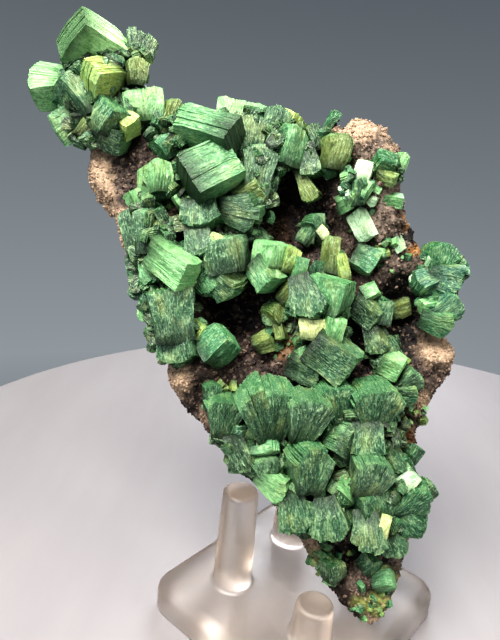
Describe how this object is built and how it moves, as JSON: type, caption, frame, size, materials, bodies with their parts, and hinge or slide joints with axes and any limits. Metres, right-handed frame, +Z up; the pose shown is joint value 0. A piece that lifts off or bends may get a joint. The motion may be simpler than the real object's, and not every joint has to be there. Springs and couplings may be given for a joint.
{
  "type": "mineral specimen on peg stand",
  "caption": "Green metatorbernite crystal clusters grown on a brown matrix rock that leans upright in a clear moulded peg display stand.",
  "frame": {"origin": "centre of the stand's underside, on the surface it rests on", "axes": "+Z up, -Y towards the side that the crystals are seen from, +X to that viewer's right"},
  "size_m": [0.0779, 0.0502, 0.0985],
  "materials": {
    "stand": "clear moulded acrylic, slightly warm, polished",
    "rock": "rough brown quartz-rich matrix with a sugary druse",
    "crystal": "pearly on plate faces, finely ribbed and waxy on the sides"
  },
  "bodies": {
    "root": {"peg_stand": "stand", "matrix_rock": "rock", "top_crystal_cluster": "crystal", "upper_left_crystal_cluster": "crystal", "left_crystal_cluster": "crystal", "lower_left_crystal_cluster": "crystal", "middle_block_cluster": "crystal", "central_crystal_cluster": "crystal", "olive_crystal_cluster": "crystal", "spear_crystal_pair": "crystal", "hollow_plate_cluster": "crystal", "upper_right_crystal_cluster": "crystal", "lobe_crest_cluster": "crystal", "lobe_plate_cluster": "crystal", "right_knob_upper_cluster": "crystal", "right_knob_lower_cluster": "crystal", "inner_right_cluster": "crystal", "inner_right_small_cluster": "crystal", "lower_fan_cluster": "crystal"}
  },
  "joints": []
}
